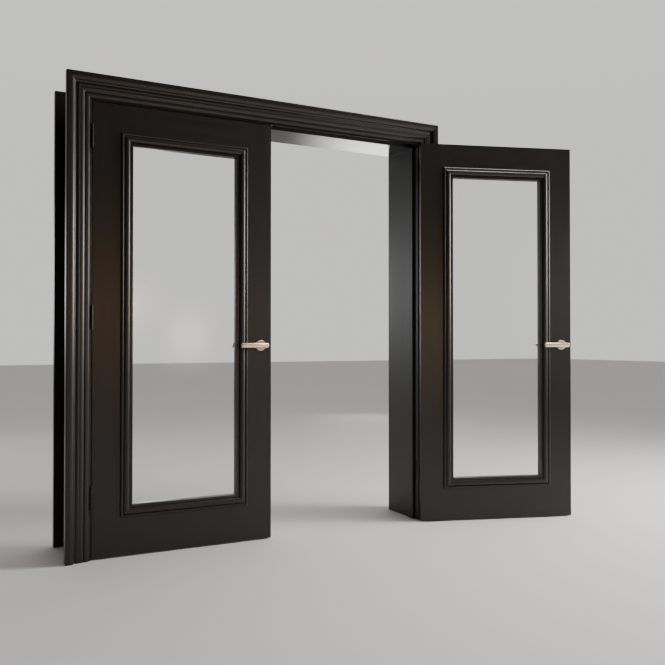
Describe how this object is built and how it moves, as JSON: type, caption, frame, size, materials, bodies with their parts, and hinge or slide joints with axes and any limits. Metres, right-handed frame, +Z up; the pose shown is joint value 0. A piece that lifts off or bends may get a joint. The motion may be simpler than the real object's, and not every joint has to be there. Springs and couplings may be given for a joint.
{
  "type": "french doors",
  "caption": "Pair of tall glazed timber doors on butt hinges in a deep lining with moulded casings, one leaf shut and one open.",
  "frame": {"origin": "floor level, front edge of the left jamb's foot, at the middle of its thickness", "axes": "+X across the doorway to the right jamb, +Y from the front through the wall, +Z up"},
  "size_m": [2.5965, 0.6877, 2.1],
  "materials": {
    "leaf_timber": "near-black satin paint",
    "lining_timber": "near-black satin paint",
    "casing_timber": "near-black satin paint",
    "moulding_timber": "near-black satin paint",
    "pane": "clear polished",
    "hinge_steel": "dark satin",
    "lever_metal": "satin rose gold",
    "bolt_steel": "satin"
  },
  "bodies": {
    "frame": {"left_jamb": "lining_timber", "right_jamb": "lining_timber", "lining_head": "lining_timber", "left_stop": "lining_timber", "right_stop": "lining_timber", "head_stop": "lining_timber", "head_bolt_keep": "bolt_steel", "front_casing_left": "casing_timber", "front_casing_right": "casing_timber", "front_casing_head": "casing_timber", "back_casing_left": "casing_timber", "back_casing_right": "casing_timber", "back_casing_head": "casing_timber", "left_top_frame_hinge": "hinge_steel", "left_middle_frame_hinge": "hinge_steel", "left_bottom_frame_hinge": "hinge_steel", "right_top_frame_hinge": "hinge_steel", "right_middle_frame_hinge": "hinge_steel", "right_bottom_frame_hinge": "hinge_steel", "hinge_pins": "hinge_steel", "frame_screws": "hinge_steel"},
    "left_leaf": {"left_hinge_stile": "leaf_timber", "left_lock_stile": "leaf_timber", "left_top_rail": "leaf_timber", "left_bottom_rail": "leaf_timber", "left_glass": "pane", "left_front_moulding": "moulding_timber", "left_back_moulding": "moulding_timber", "left_top_leaf_hinge": "hinge_steel", "left_middle_leaf_hinge": "hinge_steel", "left_bottom_leaf_hinge": "hinge_steel", "left_leaf_screws": "hinge_steel", "left_front_rose": "lever_metal", "left_back_rose": "lever_metal", "left_meeting_keep": "bolt_steel", "left_top_bolt_plate": "bolt_steel", "left_bottom_bolt_plate": "bolt_steel"},
    "right_leaf": {"right_hinge_stile": "leaf_timber", "right_lock_stile": "leaf_timber", "right_top_rail": "leaf_timber", "right_bottom_rail": "leaf_timber", "right_glass": "pane", "right_front_moulding": "moulding_timber", "right_back_moulding": "moulding_timber", "right_top_leaf_hinge": "hinge_steel", "right_middle_leaf_hinge": "hinge_steel", "right_bottom_leaf_hinge": "hinge_steel", "right_leaf_screws": "hinge_steel", "right_front_rose": "lever_metal", "right_back_rose": "lever_metal", "right_latch_case": "bolt_steel"},
    "left_lever": {"left_front_lever": "lever_metal", "left_back_lever": "lever_metal", "left_spindle": "bolt_steel"},
    "right_lever": {"right_front_lever": "lever_metal", "right_back_lever": "lever_metal", "right_spindle": "bolt_steel"},
    "right_latch": {"right_latch_bolt": "bolt_steel"},
    "left_top_bolt": {"left_top_bolt": "bolt_steel"},
    "left_bottom_bolt": {"left_bottom_bolt": "bolt_steel"}
  },
  "joints": [
    {"name": "left_leaf_hinge", "type": "hinge", "parent": "frame", "child": "left_leaf", "pos_m": [0.0165, -0.0065, 0], "axis": [0, 0, 1], "range_deg": [-164.5, 0]},
    {"name": "right_leaf_hinge", "type": "hinge", "parent": "frame", "child": "right_leaf", "pos_m": [1.6985, -0.0065, 0], "axis": [0, 0, 1], "range_deg": [-162, 2.5]},
    {"name": "left_lever_turn", "type": "hinge", "parent": "left_leaf", "child": "left_lever", "pos_m": [0.799, 0.0175, 0.926], "axis": [0, -1, 0], "range_deg": [0, 45], "stiffness_Nm_per_rad": 1.2, "springref_deg": -51.57},
    {"name": "right_lever_turn", "type": "hinge", "parent": "right_leaf", "child": "right_lever", "pos_m": [2.43528, -0.27113, 0.926], "axis": [-0.309, -0.9511, 0], "range_deg": [0, 45], "stiffness_Nm_per_rad": 1.2, "springref_deg": -51.57},
    {"name": "right_latch_slide", "type": "slide", "parent": "right_leaf", "child": "right_latch", "axis": [-0.9511, 0.309, 0], "range_m": [0, 0.011]},
    {"name": "left_top_bolt_slide", "type": "slide", "parent": "left_leaf", "child": "left_top_bolt", "axis": [0, 0, 1], "range_m": [0, 0.014]},
    {"name": "left_bottom_bolt_slide", "type": "slide", "parent": "left_leaf", "child": "left_bottom_bolt", "axis": [0, 0, -1], "range_m": [0, 0.014]}
  ],
  "couplings": [
    {"joint": "right_latch_slide", "follows": "right_lever_turn", "m_per_rad": 0.014}
  ]
}
